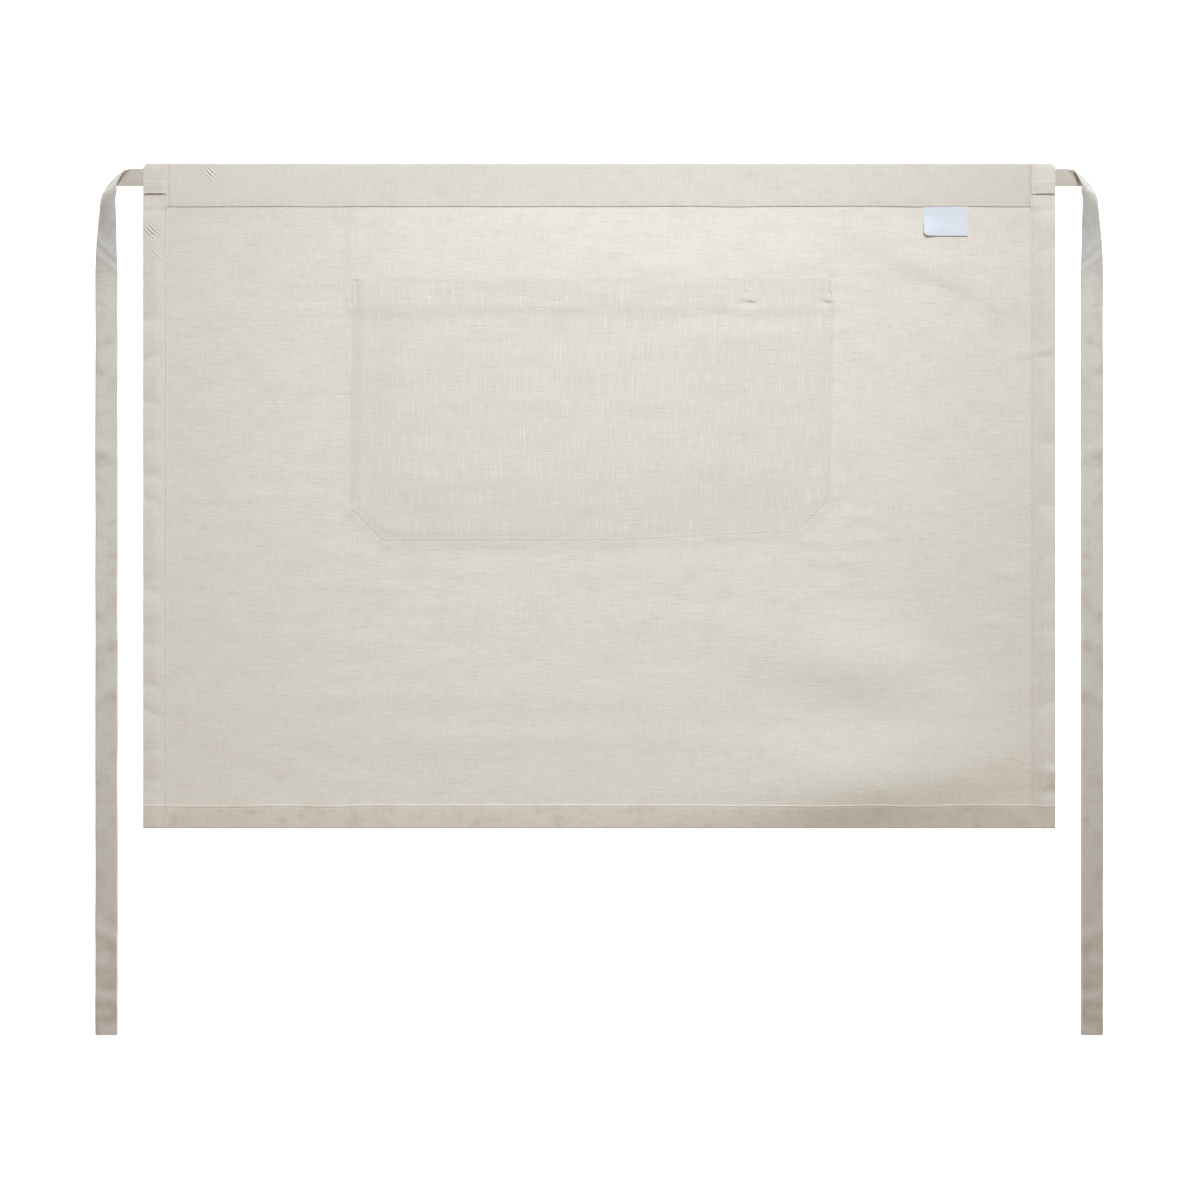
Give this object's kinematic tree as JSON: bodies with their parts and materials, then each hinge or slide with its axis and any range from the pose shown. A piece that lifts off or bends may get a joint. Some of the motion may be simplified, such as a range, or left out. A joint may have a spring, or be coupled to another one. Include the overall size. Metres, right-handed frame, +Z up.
{
  "type": "waist apron",
  "caption": "Waist apron of thin natural linen lying flat, inside up, with a wide hemmed panel, long side ties and a pocket with a pen slot beneath.",
  "frame": {"origin": "on the surface it lies on, below the middle of the whole apron with its ties", "axes": "+X to the right seen from above, +Y towards the waistband, +Z up from the surface; the inside of the apron faces up"},
  "size_m": [0.9946, 0.8604, 0.0116],
  "materials": {
    "linen_panel": "plain weave linen, matt",
    "linen_waistband": "plain weave linen, matt",
    "linen_hem": "plain weave linen, matt",
    "linen_bottom_hem": "plain weave linen, matt",
    "linen_tie": "plain weave linen, matt",
    "linen_tab": "plain weave linen, matt",
    "linen_pocket": "plain weave linen, matt",
    "label_cloth": "smooth woven satin, bare"
  },
  "bodies": {
    "root": {"panel": "linen_panel", "waistband": "linen_waistband", "side_hem_left": "linen_hem", "side_hem_right": "linen_hem", "bottom_hem": "linen_bottom_hem", "tie_left": "linen_tie", "tie_right": "linen_tie", "tie_tab_left": "linen_tab", "tie_tab_right": "linen_tab", "pocket": "linen_pocket", "pocket_hem": "linen_pocket", "care_label": "label_cloth"}
  },
  "joints": []
}
